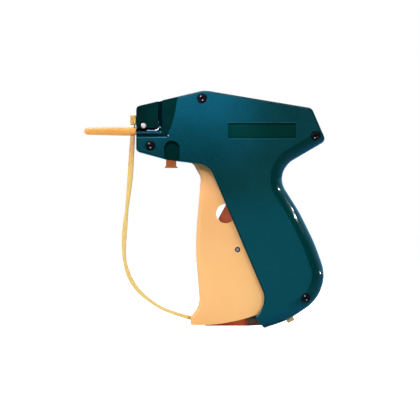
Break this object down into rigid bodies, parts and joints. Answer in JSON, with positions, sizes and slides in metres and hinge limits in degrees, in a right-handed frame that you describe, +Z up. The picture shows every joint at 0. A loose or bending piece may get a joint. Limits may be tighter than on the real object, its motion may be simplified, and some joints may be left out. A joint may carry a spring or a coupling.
{
  "type": "garment tag attacher",
  "caption": "Hand-held tagging gun: squeezing the trigger drives a rod through a capped hollow needle to set a plastic fastener.",
  "frame": {"origin": "centre of the bounding box in plan, at the lowest point of the handle", "axes": "-X along the needle, +Z up with the grip below the barrel, Y across the two shells"},
  "size_m": [0.1344, 0.025, 0.1323],
  "materials": {
    "shell_teal": "fine-textured moulded teal plastic",
    "nose_dark": "smooth dark green plastic",
    "trigger_cream": "satin moulded orange-cream plastic",
    "terracotta": "satin terracotta plastic",
    "cap_yellow": "smooth orange-yellow plastic",
    "strap_yellow": "smooth pale yellow soft plastic",
    "pad_tan": "tan rubber",
    "screw_black": "black oxide steel",
    "pin_steel": "ground steel",
    "rivet_bright": "bright nickel",
    "toe_grey": "satin grey-brown plastic",
    "inner_white": "natural acetal"
  },
  "bodies": {
    "root": {"left_shell": "shell_teal", "right_shell": "shell_teal", "shell_screws": "screw_black", "trigger_pivot_pin": "pin_steel", "lever_pivot_pin": "pin_steel", "guide_pad": "pad_tan", "return_spring": "pin_steel", "spring_anchor": "pin_steel", "rod_guide": "inner_white", "nose_plate": "nose_dark", "nose_back_plate": "nose_dark", "nose_rivet": "rivet_bright", "lock_pin": "pin_steel", "needle_hub": "nose_dark", "needle": "pin_steel", "feed_shaft": "pin_steel", "holding_leaf": "pin_steel", "cutter_blade": "pin_steel", "button_spring": "pin_steel", "cap_strap": "strap_yellow", "left_toe_cheek": "toe_grey", "right_toe_cheek": "toe_grey"},
    "trigger": {"trigger": "trigger_cream", "trigger_link_pin": "pin_steel", "trigger_guide": "terracotta"},
    "drive_lever": {"drive_lever": "terracotta"},
    "slide": {"slide": "inner_white", "slide_pin": "pin_steel", "ejector_rod": "pin_steel"},
    "feed_wheel": {"feed_wheel": "inner_white"},
    "feed_pawl": {"feed_pawl": "inner_white"},
    "release_button": {"release_button": "terracotta"},
    "needle_lock": {"needle_lock": "terracotta"},
    "needle_cap": {"needle_cap": "cap_yellow"}
  },
  "joints": [
    {"name": "trigger_squeeze", "type": "hinge", "parent": "root", "child": "trigger", "pos_m": [-0.0035, 0, 0.0954], "axis": [0, -1, 0], "range_deg": [0, 18], "stiffness_Nm_per_rad": 0.25, "deforming": ["cap_strap"]},
    {"name": "lever_rock", "type": "hinge", "parent": "root", "child": "drive_lever", "pos_m": [0.021, 0, 0.0685], "axis": [0, -1, 0], "range_deg": [0, 44.4], "deforming": ["return_spring"]},
    {"name": "slide_stroke", "type": "slide", "parent": "root", "child": "slide", "axis": [-1, 0, 0], "range_m": [0, 0.036]},
    {"name": "wheel_step", "type": "hinge", "parent": "root", "child": "feed_wheel", "pos_m": [-0.029, 0.0039, 0.1136], "axis": [1, 0, 0], "range_deg": [0, 25.71]},
    {"name": "pawl_swing", "type": "hinge", "parent": "root", "child": "feed_pawl", "pos_m": [-0.0264, 0.0039, 0.1136], "axis": [1, 0, 0], "range_deg": [0, 25.71]},
    {"name": "button_push", "type": "slide", "parent": "root", "child": "release_button", "axis": [0, 0, 1], "range_m": [0, 0.002], "stiffness_N_per_m": 20, "deforming": ["button_spring"]},
    {"name": "lock_turn", "type": "hinge", "parent": "root", "child": "needle_lock", "pos_m": [-0.0339, 0.0095, 0.1128], "axis": [0, -1, 0], "range_deg": [0, 75]},
    {"name": "cap_pull", "type": "slide", "parent": "root", "child": "needle_cap", "axis": [-1, 0, 0], "range_m": [0, 0.03]}
  ],
  "couplings": [
    {"joint": "lever_rock", "follows": "trigger_squeeze", "ratio": 2.4667},
    {"joint": "slide_stroke", "follows": "trigger_squeeze", "m_per_rad": 0.11459},
    {"joint": "wheel_step", "follows": "trigger_squeeze", "ratio": 1.4286},
    {"joint": "pawl_swing", "follows": "trigger_squeeze", "ratio": 1.4286}
  ]
}
